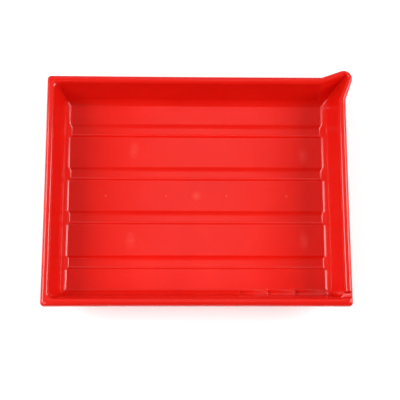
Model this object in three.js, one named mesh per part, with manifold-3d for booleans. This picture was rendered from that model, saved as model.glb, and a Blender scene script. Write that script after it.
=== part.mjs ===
// A photographic developing tray: one shallow, open, injection-moulded basin in glossy plastic.
// It is modelled as the named regions of the moulding, each a closed solid, with a fine gap
// between neighbours: the ribbed floor, the coved walls, the rolled rim with its skirt, the
// pouring spout and the rests that hold a thermometer.
// Units are millimetres, +Z is up, +X runs along the length, and the feet stand on Z = 0.
import * as THREE from "three";
import { mergeVertices } from "three/addons/utils/BufferGeometryUtils.js";
import Module from "manifold-3d";

// ---- Driving dimensions ----------------------------------------------------------------------
const RIM_LENGTH = 485; // outside of the rim along X, without the spout
const RIM_WIDTH = 373; // outside of the rim along Y, without the spout
const RIM_BAND = 13; // width of the rolled rim, from the wall's inside to its outer edge
const INSIDE_DEPTH = 65; // top of the rim above the floor
const SHEET = 2.4; // wall thickness of the moulding
const DRAFT = THREE.MathUtils.degToRad(12); // lean of the walls, outwards
// The inside curve between floor and wall: three arcs, given by their radius and the slope in
// degrees that each one ends at. The last one ends at the slope of the wall.
const COVE_ARCS = [
  { radius: 2, slope: 32, steps: 2 },
  { radius: 22, slope: 66, steps: 4 },
  { radius: 2, slope: 78, steps: 1 },
];

const SKIRT_DROP = 9; // straight part of the rim's skirt
const GAP = 0.3; // gap between neighbouring regions

const CHANNEL_COUNT = 4; // troughs across the floor, which are the feet underneath
const CHANNEL_PITCH = 73.9;
const CHANNEL_DEPTH = 3.6;
const CHANNEL_TOP = 22.3; // width of the trough at the floor
const CHANNEL_BOTTOM = 14.3; // width of the trough's flat bottom
const CHANNEL_LAND = 1; // floor left on the trough's node, beside each flank

const CORNER_LAND = 1; // straight stretch kept on a corner node beside its curve
const CORNER_STEPS = 5; // straight segments in a corner's curve
const ROLL_STEPS = 10; // straight segments over the rim

// The spout at three heights: how far along each side it starts from the corner, how far its
// sharp point would stand out from the corner along X and along Y, and the radius of its tip.
const SPOUT_FOOT = { start: 8, reach: 0, tip: 0.3 };
const SPOUT_INNER_EDGE = { start: 26, reach: 18.5, tip: 3 };
const SPOUT_OUTER_EDGE = { start: 38, reach: 20.8, tip: 14 };

// Corner radii in plan, where the surface meets the floor, the wall, the rim and the skirt.
const RADIUS_FLOOR = 0.3;
const RADIUS_WALL = 3;
const RADIUS_RIM_INSIDE = 10;
const RADIUS_RIM_OUTSIDE = 6;

const STOP_STARTS = [69.5, 115.4, 161]; // left ends of the thermometer stops, along X
const STOP_RUN = 30; // length over which a stop's groove rises to the floor's level
const STOP_RADIUS = 6; // the groove is a half round, for the bulb end of a thermometer
const STOP_DEPTH = 3.5; // depth of the groove below the floor at its left end
const STOP_INSET = 0.7; // distance of the groove's axis from the foot of the wall
const STOP_WALL = 7.5; // how far the stop's node stands outside the foot of the wall

const NOTCH_WIDTH = 8.6; // rest for the thermometer's stem, cut across the right-hand rim
const NOTCH_Y = -169; // its middle
const NOTCH_DEPTH = 3; // its floor below the top of the rim, at the rim's outside
const NOTCH_SLOPE = THREE.MathUtils.degToRad(27); // the floor falls towards the inside
const NOTCH_NODE_Y = -160; // where the front right rim node, which holds the notch, begins

// ---- Derived sizes ---------------------------------------------------------------------------
const FLOOR_Z = SHEET + CHANNEL_DEPTH;
const RIM_Z = FLOOR_Z + INSIDE_DEPTH;
const ROLL_RADIUS = RIM_BAND / 2;
const SPRING_Z = RIM_Z - ROLL_RADIUS; // where the wall ends and the rolled rim starts
const INNER_HALF_X = RIM_LENGTH / 2 - RIM_BAND; // inside of the wall at SPRING_Z
const INNER_HALF_Y = RIM_WIDTH / 2 - RIM_BAND;
const WALL_HEIGHT = SPRING_Z - FLOOR_Z;
const WALL_RUN = WALL_HEIGHT * Math.tan(DRAFT); // how far the wall leans out over its height
const COVE_SWEEP = Math.PI / 2 - DRAFT;
const COVE_END = coveRise(COVE_SWEEP);
const COVE_SET_IN = COVE_END.out - COVE_END.z * Math.tan(DRAFT);
const FLOOR_OUT = -WALL_RUN - COVE_SET_IN; // edge of the flat floor, measured like every "out"
const FLOOR_HALF_X = INNER_HALF_X + FLOOR_OUT;
const FLOOR_HALF_Y = INNER_HALF_Y + FLOOR_OUT;

const AXIS_X = new THREE.Vector3(1, 0, 0);
const AXIS_Y = new THREE.Vector3(0, 1, 0);
const AXIS_Z = new THREE.Vector3(0, 0, 1);

const lerp = THREE.MathUtils.lerp;

// ---- Solids ----------------------------------------------------------------------------------
const wasm = await Module();
wasm.setup();

const plastic = new THREE.MeshStandardMaterial({ color: 0xd92018, roughness: 0.22, metalness: 0 });
const tray = new THREE.Group();

function addNode(name, geometry) {
  const mesh = new THREE.Mesh(geometry, plastic.clone());
  mesh.name = name;
  tray.add(mesh);
}

function toSolid(geometry) {
  const bare = geometry.clone();
  bare.deleteAttribute("normal");
  bare.deleteAttribute("uv");
  const merged = mergeVertices(bare, 1e-4);
  return new wasm.Manifold(
    new wasm.Mesh({
      numProp: 3,
      vertProperties: new Float32Array(merged.attributes.position.array),
      triVerts: new Uint32Array(merged.index.array),
    }),
  );
}

function toGeometry(solid) {
  const mesh = solid.getMesh();
  const geometry = new THREE.BufferGeometry();
  geometry.setAttribute("position", new THREE.BufferAttribute(mesh.vertProperties, 3));
  geometry.setIndex(new THREE.BufferAttribute(mesh.triVerts, 1));
  return geometry;
}

// A prism: an outline drawn in the "across" and "up" directions, extruded along across x up.
function prism(outline, length, across, up) {
  const shape = new THREE.Shape(outline.map(([u, v]) => new THREE.Vector2(u, v)));
  const geometry = new THREE.ExtrudeGeometry(shape, { depth: length, bevelEnabled: false });
  const along = new THREE.Vector3().crossVectors(across, up);
  return geometry.applyMatrix4(new THREE.Matrix4().makeBasis(across, up, along));
}

// A prism along X: an outline in Y and Z, from xStart to xEnd.
function prismAlongX(outline, xStart, xEnd) {
  return prism(outline, xEnd - xStart, AXIS_Y, AXIS_Z).translate(xStart, 0, 0);
}

// A prism along Y: an outline in X and Z, with its middle at yMiddle.
function prismAlongY(outline, yMiddle, width) {
  return prism(outline, width, AXIS_X, AXIS_Z).translate(0, yMiddle + width / 2, 0);
}

// A closed sheet between two grids of points, given as rows of the same size.
function thickSheet(nearRows, farRows) {
  const rowCount = nearRows.length;
  const columnCount = nearRows[0].length;
  const points = [...nearRows.flat(), ...farRows.flat()];
  const farStart = rowCount * columnCount;
  const near = (row, column) => row * columnCount + column;
  const far = (row, column) => farStart + near(row, column);
  const faces = [];
  const addQuad = (a, b, c, d) => faces.push(a, b, c, a, c, d);

  for (let row = 0; row + 1 < rowCount; row += 1) {
    for (let column = 0; column + 1 < columnCount; column += 1) {
      addQuad(near(row, column), near(row, column + 1), near(row + 1, column + 1), near(row + 1, column));
      addQuad(far(row, column), far(row + 1, column), far(row + 1, column + 1), far(row, column + 1));
    }
  }
  for (const [row, flip] of [[0, false], [rowCount - 1, true]]) {
    for (let column = 0; column + 1 < columnCount; column += 1) {
      const edge = [near(row, column), far(row, column), far(row, column + 1), near(row, column + 1)];
      addQuad(...(flip ? edge.reverse() : edge));
    }
  }
  for (const [column, flip] of [[0, true], [columnCount - 1, false]]) {
    for (let row = 0; row + 1 < rowCount; row += 1) {
      const edge = [near(row, column), far(row, column), far(row + 1, column), near(row + 1, column)];
      addQuad(...(flip ? edge.reverse() : edge));
    }
  }

  const geometry = new THREE.BufferGeometry();
  geometry.setAttribute("position", new THREE.Float32BufferAttribute(points.flat(), 3));
  geometry.setIndex(faces);
  return signedVolume(geometry) < 0 ? turnedOver(geometry) : geometry;
}

function signedVolume(geometry) {
  const [a, b, c] = [new THREE.Vector3(), new THREE.Vector3(), new THREE.Vector3()];
  const { position } = geometry.attributes;
  let volume = 0;
  for (let i = 0; i < geometry.index.count; i += 3) {
    a.fromBufferAttribute(position, geometry.index.getX(i));
    b.fromBufferAttribute(position, geometry.index.getX(i + 1));
    c.fromBufferAttribute(position, geometry.index.getX(i + 2));
    volume += a.dot(b.cross(c)) / 6;
  }
  return volume;
}

function turnedOver(geometry) {
  geometry.setIndex([...geometry.index.array].reverse());
  return geometry;
}

// ---- Cross-section of the wall and rim ----------------------------------------------------------
// A level is one line of the section, followed round the tray. Its "out" is how far it lies
// outside the wall's inner face at SPRING_Z, "radius" is its corner radius in plan, and "spout"
// gives the spout's plan shape at that level.

function mixSpout(from, to, share) {
  return {
    start: lerp(from.start, to.start, share),
    reach: lerp(from.reach, to.reach, share),
    tip: lerp(from.tip, to.tip, share),
  };
}

// The spout's shape moved outwards by the thickness of the sheet, so both its sides keep it.
function thickenSpout(spout, thickness) {
  const halfAngle = Math.PI / 4 - Math.atan2(spout.reach, spout.start + spout.reach);
  const reach = spout.reach + thickness * (Math.SQRT1_2 / Math.sin(halfAngle) - 1);
  return { start: spout.start + thickness, reach, tip: spout.tip + thickness };
}

function wallSpout(z) {
  const share = THREE.MathUtils.clamp((z - FLOOR_Z) / WALL_HEIGHT, 0, 1);
  return mixSpout(SPOUT_FOOT, SPOUT_INNER_EDGE, share);
}

// One level of the wall or cove: the point of the inside surface at insideOut and insideZ, moved
// outwards through the sheet by "behind", where "angle" is the surface's turn from level.
function basinLevel(insideOut, insideZ, radius, angle, behind) {
  const sideways = behind * Math.sin(angle);
  return {
    out: insideOut + sideways,
    z: insideZ - behind * Math.cos(angle),
    radius: radius + sideways,
    spout: thickenSpout(wallSpout(insideZ), sideways),
  };
}

// How far the inside curve has gone outwards and upwards from the floor's edge at a slope.
function coveRise(angle) {
  let out = 0;
  let z = 0;
  let from = 0;
  for (const { radius, slope } of COVE_ARCS) {
    const to = Math.min(angle, THREE.MathUtils.degToRad(slope));
    out += radius * (Math.sin(to) - Math.sin(from));
    z += radius * (Math.cos(from) - Math.cos(to));
    from = to;
  }
  return { out, z };
}

// The slopes at which the curve has a level. It stops half a gap short of the floor and the wall.
function coveAngles() {
  const slopes = [0];
  for (const { slope, steps } of COVE_ARCS) {
    const from = slopes[slopes.length - 1];
    for (let i = 1; i <= steps; i += 1) slopes.push(lerp(from, slope, i / steps));
  }
  const angles = slopes.map(THREE.MathUtils.degToRad);
  angles[0] += GAP / 2 / COVE_ARCS[0].radius;
  angles[angles.length - 1] -= GAP / 2 / COVE_ARCS[COVE_ARCS.length - 1].radius;
  return angles;
}

function coveLevels(behind) {
  return coveAngles().map((angle, i, angles) => {
    const rise = coveRise(angle);
    const radius = lerp(RADIUS_FLOOR, RADIUS_WALL, i / (angles.length - 1));
    return basinLevel(FLOOR_OUT + rise.out, FLOOR_Z + rise.z, radius, angle, behind);
  });
}

function wallLevels(behind) {
  const bottom = FLOOR_Z + COVE_END.z + GAP / 2;
  const top = SPRING_Z - GAP / 2;
  const heights = [bottom, lerp(bottom, top, 0.8), top];
  const radii = [RADIUS_WALL, RADIUS_WALL + 1.5, RADIUS_RIM_INSIDE - 1];
  return heights.map((insideZ, i) => {
    const insideOut = (insideZ - SPRING_Z) * Math.tan(DRAFT);
    return basinLevel(insideOut, insideZ, radii[i], COVE_SWEEP, behind);
  });
}

function rimLevel(out, z) {
  const share = THREE.MathUtils.clamp(out / RIM_BAND, 0, 1);
  return {
    out,
    z,
    radius: lerp(RADIUS_RIM_INSIDE, RADIUS_RIM_OUTSIDE, share),
    spout: mixSpout(SPOUT_INNER_EDGE, SPOUT_OUTER_EDGE, share),
  };
}

function rollLevels(behind) {
  const radius = ROLL_RADIUS - behind;
  const endAngle = GAP / 2 / ROLL_RADIUS;
  return Array.from({ length: ROLL_STEPS + 1 }, (_, i) => {
    const angle = lerp(Math.PI - endAngle, endAngle, i / ROLL_STEPS);
    const out = ROLL_RADIUS + radius * Math.cos(angle);
    return { ...rimLevel(out, SPRING_Z + radius * Math.sin(angle)), meetsNotch: true };
  });
}

function skirtLevels(behind) {
  const heights = [SPRING_Z - GAP / 2, SPRING_Z - SKIRT_DROP];
  return heights.map((z) => rimLevel(RIM_BAND - behind, z));
}

// The inside and the outside of each stretch of the section.
const SECTIONS = {
  cove: [coveLevels(0), coveLevels(SHEET)],
  wall: [wallLevels(0), wallLevels(SHEET)],
  rim_top: [rollLevels(0), rollLevels(SHEET)],
  rim_skirt: [skirtLevels(0), skirtLevels(SHEET)],
};

// ---- The section followed round the tray ----------------------------------------------------------
// Sides and corners in plan. A corner has the signs of its X and Y.
const SIDES = {
  front: { along: "x", sign: -1, ends: [[-1, -1], [1, -1]] },
  right: { along: "y", sign: 1, ends: [[1, -1], [1, 1]] },
  back: { along: "x", sign: 1, ends: [[1, 1], [-1, 1]] },
  left: { along: "y", sign: -1, ends: [[-1, 1], [-1, -1]] },
};
const PLAIN_CORNERS = { front_left: [-1, -1], front_right: [1, -1], back_left: [-1, 1] };

const isSpoutCorner = ([signX, signY]) => signX > 0 && signY > 0;
const isNotchCorner = ([signX, signY]) => signX > 0 && signY < 0;

// How far a corner node reaches from the corner of its level's rectangle, along each side.
function cornerSpan(level, corner) {
  if (isSpoutCorner(corner)) return level.spout.start + CORNER_LAND;
  if (level.meetsNotch && isNotchCorner(corner)) return INNER_HALF_Y + level.out + NOTCH_NODE_Y;
  return level.radius + CORNER_LAND;
}

// A side at one level: its two end points.
function sideRow(level, side) {
  const halfX = INNER_HALF_X + level.out;
  const halfY = INNER_HALF_Y + level.out;
  return side.ends.map((corner) => {
    const back = cornerSpan(level, corner) + GAP / 2;
    return side.along === "x"
      ? [corner[0] * (halfX - back), side.sign * halfY, level.z]
      : [side.sign * halfX, corner[1] * (halfY - back), level.z];
  });
}

// A plain corner at one level, from the side along X round to the side along Y.
function cornerRow(level, corner) {
  const [signX, signY] = corner;
  const halfX = INNER_HALF_X + level.out;
  const halfY = INNER_HALF_Y + level.out;
  const span = cornerSpan(level, corner) - GAP / 2;
  const row = [[halfX - span, halfY]];
  for (let i = 0; i <= CORNER_STEPS; i += 1) {
    const angle = (Math.PI / 2) * (1 - i / CORNER_STEPS);
    const inset = level.radius;
    row.push([
      halfX - inset + inset * Math.cos(angle),
      halfY - inset + inset * Math.sin(angle),
    ]);
  }
  row.push([halfX, halfY - span]);
  return row.map(([x, y]) => [signX * x, signY * y, level.z]);
}

// Half of the spout at one level: from where it leaves the back of the tray to its tip. The
// other half is its mirror image in the spout's middle plane.
function cheekPoints(level) {
  const { start, reach, tip } = level.spout;
  const splay = Math.atan2(reach, start + reach);
  const halfAngle = Math.PI / 4 - splay;
  const circle = reach - (tip / Math.sin(halfAngle)) * Math.SQRT1_2;
  const points = [[-start - CORNER_LAND + GAP / 2, 0], [-start, 0]];
  for (let i = 0; i <= CORNER_STEPS; i += 1) {
    const angle = lerp(Math.PI / 2 + splay, Math.PI / 4, i / CORNER_STEPS);
    points.push([circle + tip * Math.cos(angle), circle + tip * Math.sin(angle)]);
  }
  return points.map(([u, v]) => [u - (GAP / 2) * Math.SQRT1_2, v + (GAP / 2) * Math.SQRT1_2]);
}

function cheekRow(level, isMirrored) {
  const halfX = INNER_HALF_X + level.out;
  const halfY = INNER_HALF_Y + level.out;
  return cheekPoints(level).map(([u, v]) =>
    isMirrored ? [halfX + v, halfY + u, level.z] : [halfX + u, halfY + v, level.z],
  );
}

function sheetFromSection(section, rowOf) {
  const [inside, outside] = section;
  return thickSheet(inside.map(rowOf), outside.map(rowOf));
}

// ---- Floor --------------------------------------------------------------------------------------
const channelCentres = Array.from(
  { length: CHANNEL_COUNT },
  (_, i) => (i - (CHANNEL_COUNT - 1) / 2) * CHANNEL_PITCH,
);

function addFloorPanels() {
  const halfNode = CHANNEL_TOP / 2 + CHANNEL_LAND + GAP;
  const edge = FLOOR_HALF_Y - GAP / 2;
  const starts = [-edge, ...channelCentres.map((y) => y + halfNode)];
  const ends = [...channelCentres.map((y) => y - halfNode), edge];
  const halfLength = FLOOR_HALF_X - GAP / 2;
  starts.forEach((start, i) => {
    const width = ends[i] - start;
    const panel = new THREE.BoxGeometry(2 * halfLength, width, SHEET);
    panel.translate(0, start + width / 2, FLOOR_Z - SHEET / 2);
    addNode(`floor_panel_${i + 1}`, panel);
  });
}

// A trough, open above and closed at both ends; its flat underside is a foot.
function channelGeometry(centre) {
  const halfTop = CHANNEL_TOP / 2;
  const halfBottom = CHANNEL_BOTTOM / 2;
  const halfNode = halfTop + CHANNEL_LAND;
  const halfFoot = halfBottom + CHANNEL_LAND;
  const halfLength = FLOOR_HALF_X - GAP / 2;
  const rightHalf = [
    [halfFoot, 0],
    [halfNode, FLOOR_Z - SHEET],
    [halfNode, FLOOR_Z],
  ];
  const leftHalf = rightHalf.map(([y, z]) => [-y, z]).reverse();
  const body = [...rightHalf, ...leftHalf].map(([y, z]) => [centre + y, z]);
  const above = 1;
  const flank = (halfTop - halfBottom) / CHANNEL_DEPTH;
  const hollow = [
    [centre - halfBottom, SHEET],
    [centre + halfBottom, SHEET],
    [centre + halfTop + flank * above, FLOOR_Z + above],
    [centre - halfTop - flank * above, FLOOR_Z + above],
  ];
  const cutEnd = halfLength - SHEET;
  const solid = toSolid(prismAlongX(body, -halfLength, halfLength));
  return toGeometry(solid.subtract(toSolid(prismAlongX(hollow, -cutEnd, cutEnd))));
}

function addChannels() {
  channelCentres.forEach((centre, i) => addNode(`foot_channel_${i + 1}`, channelGeometry(centre)));
}

// ---- Thermometer stops and notch --------------------------------------------------------------
// The front cove ends at the first stop. Each stop is a stretch of the cove with a sloping
// half-round groove, deepest at its left end, where the thermometer's bulb rests. Its node
// starts one sheet's thickness to the left of the groove, which leaves the upright end a wall.
const frontCoveEnd = FLOOR_HALF_X - RADIUS_FLOOR - CORNER_LAND - GAP / 2;
const stopNodeStarts = STOP_STARTS.map((x) => x - SHEET);

const frontOutline = (levels) => levels.map(({ out, z }) => [-(INNER_HALF_Y + out), z]);

function frontCoveGeometry() {
  const [inside, outside] = SECTIONS.cove.map(frontOutline);
  return prismAlongX([...inside, ...outside.reverse()], -frontCoveEnd, stopNodeStarts[0] - GAP / 2);
}

function stopGeometry(index) {
  const start = stopNodeStarts[index] + GAP / 2;
  const isLast = index + 1 === stopNodeStarts.length;
  const end = isLast ? frontCoveEnd : stopNodeStarts[index + 1] - GAP / 2;
  const wallFoot = -(INNER_HALF_Y - WALL_RUN);
  const inside = frontOutline(SECTIONS.cove[0]);
  const [floorEdgeY] = inside[0];
  const [, topZ] = inside[inside.length - 1];
  const block = [
    ...inside,
    [wallFoot - STOP_WALL, topZ - SHEET],
    [wallFoot - STOP_WALL, GAP],
    [floorEdgeY, GAP],
  ];

  const length = 2 * STOP_RUN;
  const groove = new THREE.CylinderGeometry(STOP_RADIUS, STOP_RADIUS, length, 20);
  groove.rotateZ(Math.PI / 2);
  groove.translate(length / 2, 0, 0);
  groove.rotateY(-Math.atan2(STOP_DEPTH, STOP_RUN));
  groove.translate(STOP_STARTS[index], wallFoot + STOP_INSET, FLOOR_Z - STOP_DEPTH + STOP_RADIUS);
  return toGeometry(toSolid(prismAlongX(block, start, end)).subtract(toSolid(groove)));
}

function addFrontCove() {
  addNode("front_cove", frontCoveGeometry());
  STOP_STARTS.forEach((_, i) => addNode(`thermometer_stop_${i + 1}`, stopGeometry(i)));
}

// Height of the notch's sloping floor at a distance along X.
const notchFloor = (x) => RIM_Z - NOTCH_DEPTH - (RIM_LENGTH / 2 - x) * Math.tan(NOTCH_SLOPE);

// The space the notch takes out of the rim and the top of the wall.
function notchSpace() {
  const inner = INNER_HALF_X - 2 * RADIUS_RIM_INSIDE;
  const outer = RIM_LENGTH / 2 + RIM_BAND;
  const above = RIM_Z + RIM_BAND;
  const outline = [[inner, notchFloor(inner)], [outer, notchFloor(outer)], [outer, above], [inner, above]];
  return toSolid(prismAlongY(outline, NOTCH_Y, NOTCH_WIDTH));
}

// The notch's floor and cheeks, which fill the hollow of the rolled rim beneath it.
function notchSaddle() {
  const inner = INNER_HALF_X + SHEET / Math.cos(DRAFT) + GAP;
  const outer = RIM_LENGTH / 2 - SHEET - GAP;
  const middle = RIM_LENGTH / 2 - ROLL_RADIUS;
  const radius = ROLL_RADIUS - SHEET / 2;
  const startAngle = Math.acos((outer - middle) / radius);
  const endAngle = Math.acos((inner - middle) / radius);
  const outline = [[inner, notchFloor(inner) - SHEET], [outer, notchFloor(outer) - SHEET]];
  for (let i = 0; i <= ROLL_STEPS; i += 1) {
    const angle = lerp(startAngle, endAngle, i / ROLL_STEPS);
    outline.push([middle + radius * Math.cos(angle), SPRING_Z + radius * Math.sin(angle)]);
  }
  return toSolid(prismAlongY(outline, NOTCH_Y, NOTCH_WIDTH + 2 * SHEET));
}

// ---- Assembly ---------------------------------------------------------------------------------
const BASIN = [0, 1].map((face) => [...SECTIONS.cove[face], ...SECTIONS.wall[face]]);
const CORNER_SECTIONS = { wall: BASIN, rim_top: SECTIONS.rim_top, rim_skirt: SECTIONS.rim_skirt };

function addSides() {
  for (const [sideName, side] of Object.entries(SIDES)) {
    for (const [sectionName, section] of Object.entries(SECTIONS)) {
      const name = `${sideName}_${sectionName}`;
      const geometry = sheetFromSection(section, (level) => sideRow(level, side));
      if (name === "right_wall") addNode(name, toGeometry(toSolid(geometry).subtract(notchSpace())));
      else if (name !== "front_cove") addNode(name, geometry);
    }
  }
}

function addPlainCorners() {
  for (const [cornerName, corner] of Object.entries(PLAIN_CORNERS)) {
    for (const [sectionName, section] of Object.entries(CORNER_SECTIONS)) {
      const geometry = sheetFromSection(section, (level) => cornerRow(level, corner));
      let solid = toSolid(geometry);
      if (isNotchCorner(corner) && sectionName === "rim_top") solid = solid.add(notchSaddle());
      if (isNotchCorner(corner) && sectionName !== "rim_skirt") solid = solid.subtract(notchSpace());
      addNode(`${cornerName}_corner_${sectionName}`, toGeometry(solid));
    }
  }
}

function addSpout() {
  for (const [sectionName, section] of Object.entries(CORNER_SECTIONS)) {
    const backCheek = sheetFromSection(section, (level) => cheekRow(level, false));
    const rightCheek = sheetFromSection(section, (level) => cheekRow(level, true));
    addNode(`spout_back_${sectionName}`, backCheek);
    addNode(`spout_right_${sectionName}`, rightCheek);
  }
}

addFloorPanels();
addChannels();
addFrontCove();
addSides();
addPlainCorners();
addSpout();

// The origin is the middle of the underside of the whole tray, spout included.
const bounds = new THREE.Box3().setFromObject(tray);
const middle = bounds.getCenter(new THREE.Vector3());
tray.position.set(-middle.x, -middle.y, -bounds.min.z);

export default tray;
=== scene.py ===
"""A glossy red developing tray for photographic prints, on a pale studio floor.

The CAD frame holds the tray as separate regions with fine gaps between them. Here the whole
moulding is one closed shell of even thickness, which stands for all of those regions. Sizes
are in millimetres round the middle of the rim's rectangle until place() puts them in the frame.
"""

import math

import bpy
import numpy as np
from mathutils import Matrix, Vector


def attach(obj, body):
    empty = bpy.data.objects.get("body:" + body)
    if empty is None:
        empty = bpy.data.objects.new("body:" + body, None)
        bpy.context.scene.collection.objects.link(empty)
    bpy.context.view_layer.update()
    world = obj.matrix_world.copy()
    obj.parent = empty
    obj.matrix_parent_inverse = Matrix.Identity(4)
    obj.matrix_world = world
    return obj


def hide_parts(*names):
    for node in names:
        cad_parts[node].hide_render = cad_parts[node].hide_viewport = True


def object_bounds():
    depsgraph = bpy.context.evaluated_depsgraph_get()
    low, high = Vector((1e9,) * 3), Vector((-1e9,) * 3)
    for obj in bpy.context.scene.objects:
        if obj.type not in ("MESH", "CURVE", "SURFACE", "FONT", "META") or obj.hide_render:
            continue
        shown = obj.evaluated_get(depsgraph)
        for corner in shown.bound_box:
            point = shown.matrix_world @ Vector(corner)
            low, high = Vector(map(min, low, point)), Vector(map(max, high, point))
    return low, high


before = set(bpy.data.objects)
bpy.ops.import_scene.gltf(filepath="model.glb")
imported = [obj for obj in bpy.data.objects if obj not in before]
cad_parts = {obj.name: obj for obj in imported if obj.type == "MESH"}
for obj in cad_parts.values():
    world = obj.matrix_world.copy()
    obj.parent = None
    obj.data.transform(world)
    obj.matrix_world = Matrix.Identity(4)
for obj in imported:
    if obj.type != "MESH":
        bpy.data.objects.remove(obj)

cad_low, cad_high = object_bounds()
MM = 0.001

# ---- Dimensions of the moulding ----------------------------------------------------------------
# They are the CAD model's, apart from softer corners at the floor and the channels' curved
# flanks and ends, and they add the small marks that moulding leaves on the floor.
RIM_LENGTH = 485.0
RIM_WIDTH = 373.0
RIM_BAND = 13.0
INSIDE_DEPTH = 65.0
SHEET = 2.4
DRAFT = math.radians(12)
# The inside curve between floor and wall: three arcs, each with its radius, the slope it ends
# at, and its share of mesh lines.
COVE_ARCS = (
    (2.0, math.radians(32), 4),
    (22.0, math.radians(66), 8),
    (2.0, math.radians(78), 3),
)
SKIRT_DROP = 9.0

CHANNEL_COUNT = 4
CHANNEL_PITCH = 73.9
CHANNEL_DEPTH = 3.6
CHANNEL_TOP = 22.3
CHANNEL_FLANK = 8.0  # how far in a flank runs, steepest at its top, before it is flat
CHANNEL_CURVE = 2.5  # 1 would be a straight flank; more is steeper at the top
CHANNEL_EDGE = 0.4  # how far the top edge is rounded off to each side
CHANNEL_END_RUN = 0.7  # how far a channel's end leans, for its depth
CHANNEL_END_BLEND = math.radians(15)  # the slopes of the cove over which the end fades away

# The spout's plan shape as (start, reach, tip radius), at the floor and at the rim's two edges.
SPOUT_FOOT = np.array([8.0, 0.0, 1.0])
SPOUT_INNER_EDGE = np.array([26.0, 18.5, 3.0])
SPOUT_OUTER_EDGE = np.array([38.0, 20.8, 14.0])

RADIUS_FLOOR = 1.0
RADIUS_WALL = 3.0
RADIUS_RIM_INSIDE = 10.0
RADIUS_RIM_OUTSIDE = 6.0

STOP_STARTS = (69.5, 115.4, 161.0)
STOP_RUN = 30.0
STOP_RADIUS = 6.0
STOP_DEPTH = 3.5
STOP_INSET = 0.7
STOP_EDGE = 1.0  # width over which a stop's upright end falls away

NOTCH_Y = -169.0
NOTCH_WIDTH = 8.6
NOTCH_DEPTH = 3.0
NOTCH_SLOPE = math.radians(27)
NOTCH_FALL = math.radians(60)  # slope of the notch's floor over the rim's outer edge
NOTCH_EDGE = 1.5

GATE_RADIUS = 5.0  # the raised ring where the plastic came in
GATE_HEIGHT = 0.25
GATE_WIDTH = 0.9
GATE_DIMPLE = 2.2  # radius of the hollow in its middle
EJECTOR_X = (-150.0, -50.0, 50.0, 150.0)
EJECTOR_RADIUS = 1.7
EJECTOR_HEIGHT = 0.2

RIM_BOW = 0.6  # how far the middle of each edge has shrunk inwards

# ---- Mesh steps --------------------------------------------------------------------------------
ARC = 20  # steps round each corner
CHEEK = 6  # steps along each side of the spout
FLOOR_STEP = 11.0  # spacing of the floor's lines away from any feature
STEP_GROWTH = 0.3  # how much the spacing grows for each millimetre away from a feature
GATE_ZONE = (-7.0, 7.0, 0.8)  # from, to and spacing of the lines over the gate, both ways
STOP_ZONE = (-155.5, -137.0, 0.6)  # the same across the tray for the stops in the front cove
WALL_SHARES = (0.06, 0.15, 0.3, 0.5, 0.7, 0.8, 0.86, 0.92, 0.96)  # heights up the wall
ROLL_STEPS = 20  # steps over the rim; half as many underneath
LIP_STEPS = 8  # steps round the skirt's lower edge

# ---- The plastic -------------------------------------------------------------------------------
BRIGHT_RED = (0.84, 0.012, 0.005)
DEEP_RED = (0.80, 0.009, 0.004)
PALE_RED = (0.94, 0.12, 0.09)
BLUSHES = ((-104, 77), (179, 70), (-108, -75), (177, -74))  # middles of the pale patches, mm
BLUSH_SIZE = (10.0, 18.0)  # reach of a patch from its middle along and across the tray
GATE_PALE = (9.0, 9.0)
EJECTOR_PALE = (2.8, 2.8)
PALE_DEPTH = 4.0  # how far above and below the floor a pale mark reaches
PLASTIC_IOR = 1.49

# ---- Studio and view, in metres and watts ------------------------------------------------------
# Softboxes face the tray, each with its direction (azimuth, elevation), size and power.
LIGHT_DISTANCE = 2.0
SOFTBOXES = {
    "left_box": ((-90, 38), (1.3, 1.0), 28.0),
    "right_box": ((90, 36), (1.3, 0.9), 29.0),
    "front_box": ((-45, 45), (0.9, 0.9), 5.5),
    "back_box": ((180, 44), (1.6, 0.3), 2.0),
    "top_box": ((173, 77), (0.55, 0.9), 0.9),
}
ROOM_FRONT = 0.04  # brightness of the room towards the front
ROOM_BACK = 0.30
STAGE_HALF = 20.0
STAGE_GAP = 0.0002  # the stage lies this far under the tray, so that the two don't flicker
STAGE_WHITE = (0.9, 0.9, 0.9, 1)
STAGE_GLOW = 0.35  # keeps the tray's shadow on the stage faint

VIEW_AZIMUTH = math.radians(-7.471)
VIEW_ELEVATION = math.radians(78.752)
VIEW_ROLL = math.radians(7.513)
VIEW_DISTANCE = 1.41845
VIEW_TARGET = (6.144, -6.830)  # millimetres from the rim's middle, on the floor's surface
LENS = 77.1

# ---- Derived sizes -----------------------------------------------------------------------------
FLOOR_Z = SHEET + CHANNEL_DEPTH
RIM_Z = FLOOR_Z + INSIDE_DEPTH
ROLL_RADIUS = RIM_BAND / 2
SPRING_Z = RIM_Z - ROLL_RADIUS
INNER_HALF = np.array([RIM_LENGTH / 2 - RIM_BAND, RIM_WIDTH / 2 - RIM_BAND])
WALL_HEIGHT = SPRING_Z - FLOOR_Z
WALL_RUN = WALL_HEIGHT * math.tan(DRAFT)
COVE_SWEEP = math.pi / 2 - DRAFT


def cove_rise(angle):
    """How far the inside curve has gone outwards and upwards from the floor's edge at a slope."""
    out, up, start = 0.0, 0.0, 0.0
    for radius, slope, _ in COVE_ARCS:
        stop = min(angle, slope)
        out += radius * (math.sin(stop) - math.sin(start))
        up += radius * (math.cos(start) - math.cos(stop))
        start = stop
    return out, up


CREASE_SLOPE = COVE_ARCS[0][1]
COVE_OUT, COVE_UP = cove_rise(COVE_SWEEP)
COVE_TOP_Z = FLOOR_Z + COVE_UP
FLOOR_OUT = -WALL_RUN - COVE_OUT + COVE_UP * math.tan(DRAFT)
FLOOR_HALF = INNER_HALF + FLOOR_OUT
CHANNELS = [(i - (CHANNEL_COUNT - 1) / 2) * CHANNEL_PITCH for i in range(CHANNEL_COUNT)]
WALL_FOOT_Y = -(INNER_HALF[1] - WALL_RUN)

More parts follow.
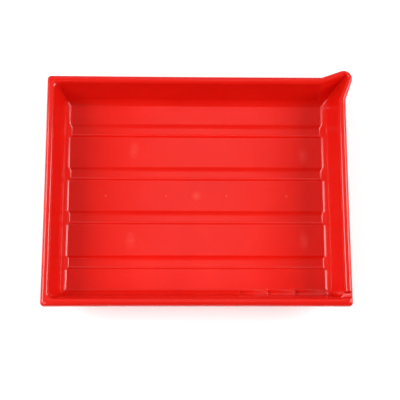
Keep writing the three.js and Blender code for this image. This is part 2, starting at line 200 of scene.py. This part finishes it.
def smooth_step(value):
    """0 below 0, 1 above 1, and a smooth rise between them."""
    value = np.clip(value, 0.0, 1.0)
    return value * value * (3 - 2 * value)


def soft_min(a, b, width):
    """The smaller of two values, with the corner between them rounded off."""
    share = np.clip(0.5 + (b - a) / (2 * width), 0.0, 1.0)
    return b + (a - b) * share - width * share * (1 - share)


# ---- Mesh lines across the floor ---------------------------------------------------------------
def graded_lines(low, high, zones):
    """Positions from low to high, close together in each zone (from, to, spacing)."""
    lines = [low]
    while lines[-1] < high:
        here = lines[-1]
        step = FLOOR_STEP
        for start, stop, fine in zones:
            distance = max(start - here, here - stop, 0.0)
            step = min(step, fine + STEP_GROWTH * distance)
        lines.append(here + step)
    lines = np.array(lines)
    return low + (lines - low) * (high - low) / (lines[-1] - low)


def x_lines():
    """Lines along the tray: fine at the gate, the ejector marks and the stops."""
    zones = [GATE_ZONE]
    zones += [(x - 2.5, x + 2.5, 0.7) for x in EJECTOR_X]
    zones += [(x - SHEET - 0.5, x + 2.5, 0.45) for x in STOP_STARTS]
    zones += [(x, x + STOP_RUN + 4, 2.5) for x in STOP_STARTS]
    return graded_lines(-FLOOR_HALF[0] + RADIUS_FLOOR, FLOOR_HALF[0] - SPOUT_FOOT[0], zones)


def y_lines():
    """Lines across the tray: fine at the gate, the stops and the channels' flanks."""
    zones = [GATE_ZONE, STOP_ZONE]
    for centre in CHANNELS:
        for side in (-1, 1):
            edge = centre + side * CHANNEL_TOP / 2
            zones.append((edge - 0.8, edge + 0.8, 0.4))
            middle = edge - side * CHANNEL_FLANK / 2
            zones.append((middle - CHANNEL_FLANK / 2, middle + CHANNEL_FLANK / 2, 0.9))
    return graded_lines(-FLOOR_HALF[1] + RADIUS_FLOOR, FLOOR_HALF[1] - SPOUT_FOOT[0], zones)


def with_cheek(lines, half):
    """The lines, carried on over the stretch where the spout's foot starts."""
    cheek = np.linspace(lines[-1], half - RADIUS_FLOOR, CHEEK + 1)
    return np.concatenate([lines, cheek[1:]])


X_MAIN = x_lines()
Y_MAIN = y_lines()
X_ALL = with_cheek(X_MAIN, FLOOR_HALF[0])
Y_ALL = with_cheek(Y_MAIN, FLOOR_HALF[1])


def stretched(lines, low, high):
    """The lines moved and scaled so that they run from low to high."""
    return low + (lines - lines[0]) * (high - low) / (lines[-1] - lines[0])


# ---- One ring round the tray -------------------------------------------------------------------
def ring(out, radius, spout):
    """Points in plan, anticlockwise from the front side's left end, at an offset and radius."""
    half_x, half_y = INNER_HALF + out
    start, reach, tip = spout
    splay = math.atan2(reach, start + reach)
    centre = reach - tip / math.sin(math.pi / 4 - splay) * math.sqrt(0.5)

    def arc(x, y, size, first, last):
        angles = np.linspace(first, last, ARC + 1)
        return np.column_stack([x + size * np.cos(angles), y + size * np.sin(angles)])

    quarter = math.pi / 2
    tip_arc = arc(half_x + centre, half_y + centre, tip, -splay, quarter + splay)
    share = np.linspace(0, 1, CHEEK + 1)[1:-1, None]
    right_leave = np.array([half_x, half_y - start])
    back_leave = np.array([half_x - start, half_y])
    front_x = stretched(X_ALL, radius - half_x, half_x - radius)
    right_y = stretched(Y_MAIN, radius - half_y, half_y - start)
    back_x = stretched(X_MAIN, radius - half_x, half_x - start)[::-1]
    left_y = stretched(Y_ALL, radius - half_y, half_y - radius)[::-1]
    stretches = [
        np.column_stack([front_x, np.full_like(front_x, -half_y)]),
        arc(half_x - radius, radius - half_y, radius, -quarter, 0)[1:-1],
        np.column_stack([np.full_like(right_y, half_x), right_y]),
        right_leave + (tip_arc[0] - right_leave) * share,
        tip_arc,
        tip_arc[-1] + (back_leave - tip_arc[-1]) * share,
        np.column_stack([back_x, np.full_like(back_x, half_y)]),
        arc(radius - half_x, half_y - radius, radius, quarter, 2 * quarter)[1:-1],
        np.column_stack([np.full_like(left_y, -half_x), left_y]),
        arc(radius - half_x, radius - half_y, radius, 2 * quarter, 3 * quarter)[1:-1],
    ]
    return np.concatenate(stretches)


# Where each stretch of the ring starts, counted in points.
FRONT = 0
FRONT_RIGHT = FRONT + len(X_ALL)
RIGHT = FRONT_RIGHT + ARC - 1
RIGHT_CHEEK = RIGHT + len(Y_MAIN)
TIP = RIGHT_CHEEK + CHEEK - 1
BACK_CHEEK = TIP + ARC + 1
BACK = BACK_CHEEK + CHEEK - 1
BACK_LEFT = BACK + len(X_MAIN)
LEFT = BACK_LEFT + ARC - 1
FRONT_LEFT = LEFT + len(Y_ALL)
RING = FRONT_LEFT + ARC - 1


# ---- Floor profile -----------------------------------------------------------------------------
def channel_drop(y):
    """Depth of the floor's surface below its panels, as a function of y."""
    y = np.asarray(y, float)
    drop = np.zeros_like(y)
    edge = CHANNEL_EDGE
    for centre in CHANNELS:
        inside = CHANNEL_TOP / 2 - np.abs(y - centre)
        inside = np.where(inside < edge, np.clip(inside + edge, 0, None) ** 2 / (4 * edge), inside)
        left_over = 1 - np.clip(inside / CHANNEL_FLANK, 0, 1)
        drop = np.maximum(drop, CHANNEL_DEPTH * (1 - left_over**CHANNEL_CURVE))
    return drop


def underside_drop(y):
    """The same for the sheet's underside, which keeps an even distance from the surface."""
    y = np.asarray(y, float)
    reach = np.linspace(-SHEET, SHEET, 49)[:, None]
    sag = np.sqrt(np.clip(SHEET**2 - reach**2, 0, None))
    return (channel_drop(y.ravel()[None, :] + reach) + sag).max(0).reshape(y.shape) - SHEET


# ---- Levels of the section ---------------------------------------------------------------------
class Level:
    """One line of the section, followed round the tray."""

    def __init__(self, out, z, radius, spout, kind, angle=0.0):
        self.out = out
        self.z = z
        self.radius = radius
        self.spout = spout
        self.kind = kind
        self.angle = angle  # turn of the surface from level, for coves and walls


def thickened(spout, thickness):
    """The spout moved outwards so that both its sides keep the sheet's thickness."""
    start, reach, tip = spout
    half_angle = math.pi / 4 - math.atan2(reach, start + reach)
    reach += thickness * (math.sqrt(0.5) / math.sin(half_angle) - 1)
    return np.array([start + thickness, reach, tip + thickness])


def basin_level(inside_out, inside_z, radius, angle, behind, kind):
    """A level of the basin, moved behind its inside surface at right angles to it."""
    share = min(max((inside_z - FLOOR_Z) / WALL_HEIGHT, 0.0), 1.0)
    spout = SPOUT_FOOT + (SPOUT_INNER_EDGE - SPOUT_FOOT) * share
    sideways = behind * math.sin(angle)
    return Level(
        inside_out + sideways,
        inside_z - behind * math.cos(angle),
        radius + sideways,
        thickened(spout, sideways),
        kind,
        angle,
    )


def cove_levels(behind):
    """Up the curve between floor and wall."""
    kind = "cove_under" if behind else "cove"
    angles = [0.0]
    for _, slope, steps in COVE_ARCS:
        angles += list(np.linspace(angles[-1], slope, steps + 1)[1:])
    levels = []
    for i, angle in enumerate(angles):
        out, up = cove_rise(angle)
        share = i / (len(angles) - 1)
        radius = RADIUS_FLOOR + (RADIUS_WALL - RADIUS_FLOOR) * share
        levels.append(basin_level(FLOOR_OUT + out, FLOOR_Z + up, radius, angle, behind, kind))
    return levels


def wall_levels(behind):
    """Up the wall, whose corners open out just below the rim."""
    levels = []
    for share in WALL_SHARES:
        z = COVE_TOP_Z + (SPRING_Z - COVE_TOP_Z) * share
        growth = float(smooth_step((share - 0.6) / 0.4))
        radius = RADIUS_WALL + 1 + (RADIUS_RIM_INSIDE - RADIUS_WALL - 2) * growth
        inside_out = (z - SPRING_Z) * math.tan(DRAFT)
        kind = "wall_under" if behind else "wall"
        levels.append(basin_level(inside_out, z, radius, COVE_SWEEP, behind, kind))
    return levels


def rim_level(out, z, kind):
    """A level of the rim, whose corners and spout change from its inner to its outer edge."""
    share = min(max(out / RIM_BAND, 0.0), 1.0)
    radius = RADIUS_RIM_INSIDE + (RADIUS_RIM_OUTSIDE - RADIUS_RIM_INSIDE) * share
    spout = SPOUT_INNER_EDGE + (SPOUT_OUTER_EDGE - SPOUT_INNER_EDGE) * share
    return Level(out, z, radius, spout, kind)


def roll_levels(behind, steps):
    """Over the rolled rim, from the wall's top to the skirt's."""
    size = ROLL_RADIUS - behind
    kind = "roll_under" if behind else "roll"
    levels = []
    for i in range(steps + 1):
        angle = math.pi * (1 - i / steps)
        out = ROLL_RADIUS + size * math.cos(angle)
        levels.append(rim_level(out, SPRING_Z + size * math.sin(angle), kind))
    return levels


def skirt_levels():
    """Down the outside of the skirt, round its lower edge and up its inside."""
    lip = SHEET / 2
    lip_z = SPRING_Z - SKIRT_DROP + lip
    middle = (SPRING_Z + lip_z) / 2
    levels = [rim_level(RIM_BAND, middle, "skirt")]
    for i in range(LIP_STEPS + 1):
        angle = math.pi * i / LIP_STEPS
        out = RIM_BAND - lip + lip * math.cos(angle)
        levels.append(rim_level(out, lip_z - lip * math.sin(angle), "skirt"))
    levels.append(rim_level(RIM_BAND - SHEET, middle, "skirt"))
    return levels


def section_levels():
    """The whole section, from the floor's edge over the rim and back underneath."""
    inside = cove_levels(0) + wall_levels(0) + roll_levels(0, ROLL_STEPS)
    under_rim = roll_levels(SHEET, ROLL_STEPS // 2)
    outside = cove_levels(SHEET) + wall_levels(SHEET)
    return inside + skirt_levels() + under_rim[::-1] + outside[::-1]


# ---- Features pressed into the shell -----------------------------------------------------------
def groove_push(points, direction, behind):
    """How far the thermometer stops push points of the front cove along a direction."""
    push = np.zeros(len(points))
    for start in STOP_STARTS:
        along = points[:, 0] - start
        climb = np.clip(along, 0, None) * STOP_DEPTH / STOP_RUN
        axis_z = FLOOR_Z - STOP_DEPTH + STOP_RADIUS + climb
        away_y = points[:, 1] - (WALL_FOOT_Y + STOP_INSET)
        away_z = points[:, 2] - axis_z
        toward = away_y * direction[:, 0] + away_z * direction[:, 1]
        inside = STOP_RADIUS**2 - away_y**2 - away_z**2
        depth = np.where(inside > 0, -toward + np.sqrt(np.clip(toward**2 + inside, 0, None)), 0.0)
        fall = smooth_step((along + behind) / STOP_EDGE)
        push = np.maximum(push, depth * fall)
    return push


def notch_line(x):
    """Height of the notch's floor: it falls to the inside, and over the outer edge."""
    outer = RIM_LENGTH / 2
    inward = RIM_Z - NOTCH_DEPTH - (outer - x) * math.tan(NOTCH_SLOPE)
    outward = SPRING_Z + (outer - x) * math.tan(NOTCH_FALL)
    return soft_min(inward, outward, 0.8)


def press_notch(points, behind):
    """Lowers the points of the rim and the wall's top to the notch's floor."""
    x, y, z = points.T
    beside = np.abs(y - NOTCH_Y) - NOTCH_WIDTH / 2 - behind
    share = smooth_step(0.5 - beside / NOTCH_EDGE)
    floor = notch_line(x) - behind
    lowered = soft_min(z, floor, 0.5)
    reach = (x > INNER_HALF[0] - 2 * RADIUS_RIM_INSIDE) & (y < 0)
    points[:, 2] = np.where(reach, z + (lowered - z) * share, z)


def floor_marks(x, y):
    """The raised ring where the plastic came in, and the small discs of the ejector pins."""
    away = np.hypot(x, y)
    height = GATE_HEIGHT * np.exp(-(((away - GATE_RADIUS) / GATE_WIDTH) ** 2))
    height -= GATE_HEIGHT * smooth_step(GATE_DIMPLE - away)
    for centre in EJECTOR_X:
        away = np.hypot(x - centre, y)
        height += EJECTOR_HEIGHT * smooth_step((EJECTOR_RADIUS - away) / 0.8 + 0.5)
    return height


def bow_inwards(points):
    """Draws the middles of the edges in a little, more at the rim than at the floor."""
    height = np.clip((points[:, 2] - FLOOR_Z) / INSIDE_DEPTH, 0, 1)
    share_x = np.clip(points[:, 0] / INNER_HALF[0], -1, 1)
    share_y = np.clip(points[:, 1] / INNER_HALF[1], -1, 1)
    points[:, 1] -= RIM_BOW * height * (1 - share_x**2) * share_y
    points[:, 0] -= RIM_BOW * height * (1 - share_y**2) * share_x


# ---- The shell ---------------------------------------------------------------------------------
def ring_floor_y():
    """The floor coordinate along Y of each ring point on the two short sides, else nan."""
    along = np.full(RING, np.nan)
    along[RIGHT:RIGHT + len(Y_MAIN)] = Y_MAIN
    along[LEFT:LEFT + len(Y_ALL)] = Y_ALL[::-1]
    return along


def channel_end_share(angle):
    """How much of a channel's depth reaches a line of the side coves: all at their foot."""
    return 1 - float(smooth_step((angle - CREASE_SLOPE) / CHANNEL_END_BLEND))


def level_points(level):
    """The points of one level, with the channels, stops and notch pressed in."""
    plan = ring(level.out, level.radius, level.spout)
    points = np.column_stack([plan, np.full(len(plan), level.z)])
    if level.kind in ("cove", "cove_under"):
        along = ring_floor_y()
        on_side = ~np.isnan(along)
        drop_of = channel_drop if level.kind == "cove" else underside_drop
        drop = np.zeros(RING)
        drop[on_side] = drop_of(along[on_side]) * channel_end_share(level.angle)
        points[:, 0] -= np.sign(points[:, 0]) * drop * CHANNEL_END_RUN
        points[:, 2] -= drop
    behind = SHEET if level.kind.endswith("under") else 0.0
    if level.kind in ("cove", "cove_under", "wall", "wall_under"):
        front = slice(FRONT, FRONT_RIGHT)
        outward = np.array([-math.sin(level.angle), -math.cos(level.angle)])
        base = points[front].copy()
        base[:, 1:] -= outward * behind
        direction = np.tile(outward, (len(base), 1))
        points[front, 1:] += outward * groove_push(base, direction, behind)[:, None]
    if level.kind in ("wall", "wall_under", "roll", "roll_under"):
        press_notch(points, behind)
    return points


def floor_grid(boundary, behind):
    """The floor between the ring's four sides, as rows of points from front to back."""
    columns = len(X_ALL) + ARC
    rows = len(Y_ALL) + ARC
    half = ARC // 2
    index = np.arange(RING)
    front = np.take(index, np.arange(FRONT - half, FRONT + len(X_ALL) + half), mode="wrap")
    right = np.arange(RIGHT - half, TIP + half + 1)
    back = np.arange(TIP + half, BACK_LEFT + half)[::-1]
    left = np.arange(LEFT - half, FRONT_LEFT + half)[::-1]
    front_row, back_row = boundary[front], boundary[back]
    left_column, right_column = boundary[left], boundary[right]
    across = stretched(np.cumsum(np.r_[0, np.hypot(*np.diff(front_row[:, :2], axis=0).T)]), 0, 1)
    up = stretched(np.cumsum(np.r_[0, np.hypot(*np.diff(left_column[:, :2], axis=0).T)]), 0, 1)
    s = across[None, :, None]
    t = up[:, None, None]
    grid = (1 - t) * front_row[None] + t * back_row[None]
    grid = grid + (1 - s) * left_column[:, None] + s * right_column[:, None]
    corners = [front_row[0], front_row[-1], back_row[0], back_row[-1]]
    grid = grid - (1 - s) * (1 - t) * corners[0] - s * (1 - t) * corners[1]
    grid = grid - (1 - s) * t * corners[2] - s * t * corners[3]
    inner = grid[1:-1, 1:-1].reshape(-1, 3)
    base = inner.copy()
    if behind:
        inner[:, 2] = FLOOR_Z - SHEET - underside_drop(inner[:, 1])
        base[:, 2] = FLOOR_Z
    else:
        inner[:, 2] = FLOOR_Z - channel_drop(inner[:, 1])
        base[:, 2] = inner[:, 2]
    down = np.tile([0.0, -1.0], (len(base), 1))
    inner[:, 2] -= groove_push(base, down, behind)
    if not behind:
        inner[:, 2] += floor_marks(inner[:, 0], inner[:, 1])
    numbers = np.full((rows, columns), -1)
    numbers[0, :], numbers[-1, :] = front, back
    numbers[:, 0], numbers[:, -1] = left, right
    numbers[1:-1, 1:-1] = np.arange(len(inner)).reshape(rows - 2, columns - 2) + RING
    return inner, numbers


def grid_faces(numbers, upward):
    """Quads between the numbered points of a grid, facing up or down."""
    a, b = numbers[:-1, :-1].ravel(), numbers[:-1, 1:].ravel()
    c, d = numbers[1:, 1:].ravel(), numbers[1:, :-1].ravel()
    quads = np.column_stack([a, b, c, d])
    return quads if upward else quads[:, ::-1]


def build_shell():
    """Points and faces of the whole moulding as one closed surface."""
    levels = section_levels()
    rings = [level_points(level) for level in levels]
    faces = []
    around = np.arange(RING)
    following = np.roll(around, -1)
    for i in range(len(levels) - 1):
        low, high = i * RING, (i + 1) * RING
        corners = [low + following, low + around, high + around, high + following]
        faces.append(np.column_stack(corners))
    top_inner, top_numbers = floor_grid(rings[0], 0.0)
    under_inner, under_numbers = floor_grid(rings[-1], SHEET)
    count = len(levels) * RING
    last = (len(levels) - 1) * RING
    top = np.where(top_numbers >= RING, top_numbers - RING + count, top_numbers)
    under = np.where(
        under_numbers >= RING,
        under_numbers - RING + count + len(top_inner),
        under_numbers + last,
    )
    faces += [grid_faces(top, True), grid_faces(under, False)]
    points = np.concatenate(rings + [top_inner, under_inner])
    bow_inwards(points)
    return points, np.concatenate(faces)


def place(points):
    """Moves the shell into the frame, so that it fills the CAD model's box."""
    low, high = points.min(0), points.max(0)
    share = (points - low) / (high - low)
    return np.array(cad_low) + share * (np.array(cad_high) - np.array(cad_low))


def make_tray():
    """The tray's object, still without a material."""
    points, faces = build_shell()
    mesh = bpy.data.meshes.new("tray_moulding")
    mesh.from_pydata(place(points).tolist(), [], faces.tolist())
    mesh.validate()
    mesh.polygons.foreach_set("use_smooth", [True] * len(mesh.polygons))
    tray = bpy.data.objects.new("tray_moulding", mesh)
    bpy.context.scene.collection.objects.link(tray)
    return tray


def rim_middle():
    """The middle of the rim's rectangle at the floor's surface, in the frame."""
    return Vector((
        cad_low[0] + RIM_LENGTH / 2 * MM,
        cad_low[1] + RIM_WIDTH / 2 * MM,
        cad_low[2] + FLOOR_Z * MM,
    ))


# ---- Materials ---------------------------------------------------------------------------------
def add_node(tree, kind, **values):
    """A shader node with its sockets and settings filled in."""
    node = tree.nodes.new(kind)
    for name, value in values.items():
        if name in node.inputs:
            node.inputs[name].default_value = value
        else:
            setattr(node, name, value)
    return node


def noise(tree, place, scale, detail, stretch=(1, 1, 1)):
    """Noise in object coordinates, stretched along the axes. Returns its value's socket."""
    mapping = add_node(tree, "ShaderNodeMapping", Scale=stretch)
    texture = add_node(tree, "ShaderNodeTexNoise", Scale=scale, Detail=detail)
    tree.links.new(place, mapping.inputs["Vector"])
    tree.links.new(mapping.outputs["Vector"], texture.inputs["Vector"])
    return texture.outputs["Fac"]


def ranged(tree, value, low, high, start=0.0, stop=1.0):
    """A value's range from start to stop mapped to low to high, and held there."""
    node = add_node(tree, "ShaderNodeMapRange")
    node.inputs["From Min"].default_value = start
    node.inputs["From Max"].default_value = stop
    node.inputs["To Min"].default_value = low
    node.inputs["To Max"].default_value = high
    tree.links.new(value, node.inputs["Value"])
    return node.outputs["Result"]


def combined(tree, operation, first, second):
    """Two values put together by a math operation."""
    node = add_node(tree, "ShaderNodeMath", operation=operation)
    tree.links.new(first, node.inputs[0])
    tree.links.new(second, node.inputs[1])
    return node.outputs["Value"]


def spot(tree, place, x, y, size):
    """1 in the middle of a soft oval mark on the floor, falling to 0 at its size."""
    mapping = add_node(tree, "ShaderNodeMapping", vector_type="TEXTURE")
    mapping.inputs["Location"].default_value = rim_middle() + Vector((x, y, 0)) * MM
    mapping.inputs["Scale"].default_value = Vector((*size, PALE_DEPTH)) * MM
    length = add_node(tree, "ShaderNodeVectorMath", operation="LENGTH")
    tree.links.new(place, mapping.inputs["Vector"])
    tree.links.new(mapping.outputs["Vector"], length.inputs["Vector"])
    return ranged(tree, length.outputs["Value"], 1.0, 0.0)


def pale_marks(tree, place):
    """How pale the plastic is, at the gate and ejectors and where the flow slowed."""
    total = spot(tree, place, 0, 0, GATE_PALE)
    for x in EJECTOR_X:
        total = combined(tree, "MAXIMUM", total, spot(tree, place, x, 0, EJECTOR_PALE))
    patches = ranged(tree, noise(tree, place, 90.0, 1.0), 0.35, 0.75, 0.35, 0.7)
    for x, y in BLUSHES:
        blush = combined(tree, "MULTIPLY", spot(tree, place, x, y, BLUSH_SIZE), patches)
        total = combined(tree, "MAXIMUM", total, blush)
    return total


def red_plastic():
    """Glossy polypropylene: even red, with fine grain, slow changes of gloss and pale marks."""
    material = bpy.data.materials.new("tray_plastic")
    material.use_nodes = True
    tree = material.node_tree
    shader = tree.nodes["Principled BSDF"]
    place = add_node(tree, "ShaderNodeTexCoord").outputs["Object"]

    clouds = ranged(tree, noise(tree, place, 14.0, 3.0), 0.0, 1.0, 0.3, 0.7)
    tone = add_node(tree, "ShaderNodeMix", data_type="RGBA")
    tone.inputs["A"].default_value = (*DEEP_RED, 1)
    tone.inputs["B"].default_value = (*BRIGHT_RED, 1)
    tree.links.new(clouds, tone.inputs["Factor"])
    pale = add_node(tree, "ShaderNodeMix", data_type="RGBA")
    pale.inputs["B"].default_value = (*PALE_RED, 1)
    tree.links.new(ranged(tree, pale_marks(tree, place), 0.0, 0.5), pale.inputs["Factor"])
    tree.links.new(tone.outputs["Result"], pale.inputs["A"])
    tree.links.new(pale.outputs["Result"], shader.inputs["Base Color"])

    wiped = noise(tree, place, 16.0, 2.0, (1, 3, 1))
    tree.links.new(ranged(tree, wiped, 0.15, 0.21, 0.3, 0.7), shader.inputs["Roughness"])
    grain = combined(
        tree, "ADD",
        ranged(tree, noise(tree, place, 2600.0, 2.0), 0.0, 0.25),
        ranged(tree, noise(tree, place, 60.0, 1.0), 0.0, 0.5),
    )
    bump = add_node(tree, "ShaderNodeBump", Strength=0.05, Distance=0.0002)
    tree.links.new(grain, bump.inputs["Height"])
    tree.links.new(bump.outputs["Normal"], shader.inputs["Normal"])
    shader.inputs["IOR"].default_value = PLASTIC_IOR
    return material


# ---- Studio ------------------------------------------------------------------------------------
def direction_from(azimuth, elevation):
    """The unit vector towards a viewer or light; azimuth 0 is in front of the tray."""
    return Vector((
        math.cos(elevation) * math.sin(azimuth),
        -math.cos(elevation) * math.cos(azimuth),
        math.sin(elevation),
    ))


def add_softbox(name, direction, size, power, target):
    """A rectangular light that faces the target from a direction (azimuth, elevation)."""
    azimuth, elevation = direction
    away = direction_from(math.radians(azimuth), math.radians(elevation))
    data = bpy.data.lights.new(name, "AREA")
    data.shape = "RECTANGLE"
    data.size, data.size_y = size
    data.energy = power
    light = bpy.data.objects.new(name, data)
    light.location = target + away * LIGHT_DISTANCE
    light.rotation_euler = (-away).to_track_quat("-Z", "Y").to_euler()
    bpy.context.scene.collection.objects.link(light)


def light_studio():
    target = rim_middle()
    for name, (direction, size, power) in SOFTBOXES.items():
        add_softbox(name, direction, size, power, target)
    bpy.context.scene.view_settings.view_transform = "Standard"


def make_floor():
    """The pale stage that the tray stands on."""
    mesh = bpy.data.meshes.new("studio_floor")
    size = STAGE_HALF
    corners = [(-size, -size, 0), (size, -size, 0), (size, size, 0), (-size, size, 0)]
    mesh.from_pydata(corners, [], [(0, 1, 2, 3)])
    floor = bpy.data.objects.new("studio_floor", mesh)
    floor.location.z = cad_low[2] - STAGE_GAP
    material = bpy.data.materials.new("studio_floor")
    material.use_nodes = True
    shader = material.node_tree.nodes["Principled BSDF"]
    shader.inputs["Base Color"].default_value = STAGE_WHITE
    shader.inputs["Roughness"].default_value = 0.9
    shader.inputs["Specular IOR Level"].default_value = 0.0
    shader.inputs["Emission Color"].default_value = (1, 1, 1, 1)
    shader.inputs["Emission Strength"].default_value = STAGE_GLOW
    mesh.materials.append(material)
    bpy.context.scene.collection.objects.link(floor)
    return floor


def make_world():
    """A dim white room, brighter towards the back."""
    world = bpy.data.worlds.new("studio")
    bpy.context.scene.world = world
    world.use_nodes = True
    tree = world.node_tree
    background = tree.nodes["Background"]
    background.inputs["Color"].default_value = (1, 1, 1, 1)
    direction = add_node(tree, "ShaderNodeTexCoord").outputs["Generated"]
    axes = add_node(tree, "ShaderNodeSeparateXYZ")
    tree.links.new(direction, axes.inputs["Vector"])
    shade = ranged(tree, axes.outputs["Y"], ROOM_FRONT, ROOM_BACK, -1.0, 1.0)
    tree.links.new(shade, background.inputs["Strength"])


# ---- Camera ------------------------------------------------------------------------------------
def add_camera():
    """The camera at the view's angle, rolled about its own axis."""
    toward = direction_from(VIEW_AZIMUTH, VIEW_ELEVATION)
    right = Vector((0, 0, 1)).cross(toward).normalized()
    up = toward.cross(right)
    turned_right = right * math.cos(VIEW_ROLL) + up * math.sin(VIEW_ROLL)
    turned_up = up * math.cos(VIEW_ROLL) - right * math.sin(VIEW_ROLL)
    data = bpy.data.cameras.new("view")
    data.lens = LENS
    data.clip_start = 0.01
    camera = bpy.data.objects.new("view", data)
    bpy.context.scene.collection.objects.link(camera)
    target = rim_middle() + Vector((VIEW_TARGET[0] * MM, VIEW_TARGET[1] * MM, 0))
    axes = Matrix((turned_right, turned_up, toward)).transposed().to_4x4()
    camera.matrix_world = Matrix.Translation(target + toward * VIEW_DISTANCE) @ axes
    bpy.context.scene.camera = camera


# ---- The scene ---------------------------------------------------------------------------------
tray = make_tray()
tray.data.materials.append(red_plastic())
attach(tray, "root")
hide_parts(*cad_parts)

make_floor()
make_world()
light_studio()
add_camera()
